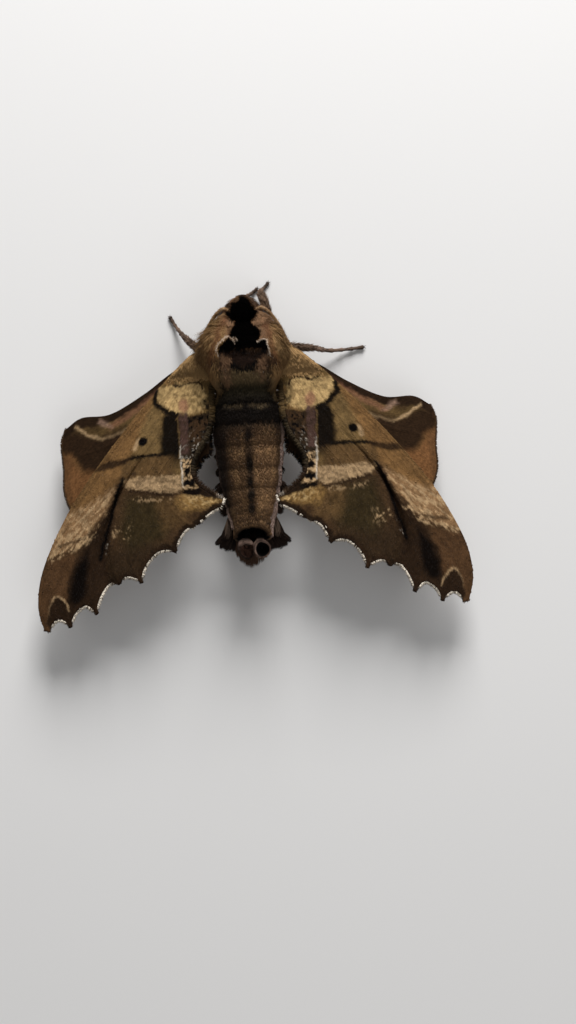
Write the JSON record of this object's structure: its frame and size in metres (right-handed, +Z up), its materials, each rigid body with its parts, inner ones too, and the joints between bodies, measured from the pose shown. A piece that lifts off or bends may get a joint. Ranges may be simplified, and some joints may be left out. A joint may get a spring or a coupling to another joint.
{
  "type": "sphinx moth",
  "caption": "Life-size sphinx moth at rest: toothed forewings over hindwings whose front lobes stand out ahead, ringed body with a curled-up tail.",
  "frame": {"origin": "middle of the model's footprint, on the surface that it rests on", "axes": "+Y towards the head, +Z up from the back, +X towards the moth's own right side"},
  "size_m": [0.0554, 0.0438, 0.0115],
  "materials": {
    "black_crest": "velvet, matte",
    "shoulder_scales": "short fur, matte",
    "thorax_scales": "short fur, matte",
    "abdomen_scales": "short scales, matte",
    "dark_scales": "long scales, matte",
    "clasper_scales": "short scales, matte",
    "forewing_scales": "fine scales, matte",
    "hindwing_scales": "fine scales, matte",
    "leg_scales": "fine scales, matte",
    "antenna_scales": "fine scales, matte",
    "eye": "glossy"
  },
  "bodies": {
    "root": {"head": "black_crest", "thorax": "thorax_scales", "abdomen": "abdomen_scales", "tegula_left": "shoulder_scales", "tegula_right": "shoulder_scales", "eye_left": "eye", "eye_right": "eye", "antenna_left": "antenna_scales", "antenna_right": "antenna_scales", "palp_left": "shoulder_scales", "palp_right": "shoulder_scales", "forewing_left": "forewing_scales", "forewing_right": "forewing_scales", "hindwing_left": "hindwing_scales", "hindwing_right": "hindwing_scales", "foreleg_left": "leg_scales", "foreleg_right": "leg_scales", "midleg_left": "leg_scales", "midleg_right": "leg_scales", "hindleg_left": "leg_scales", "hindleg_right": "leg_scales", "clasper_left": "clasper_scales", "clasper_right": "clasper_scales", "tail_tuft_left": "dark_scales", "tail_tuft_right": "dark_scales", "tail_brush": "clasper_scales"}
  },
  "joints": []
}
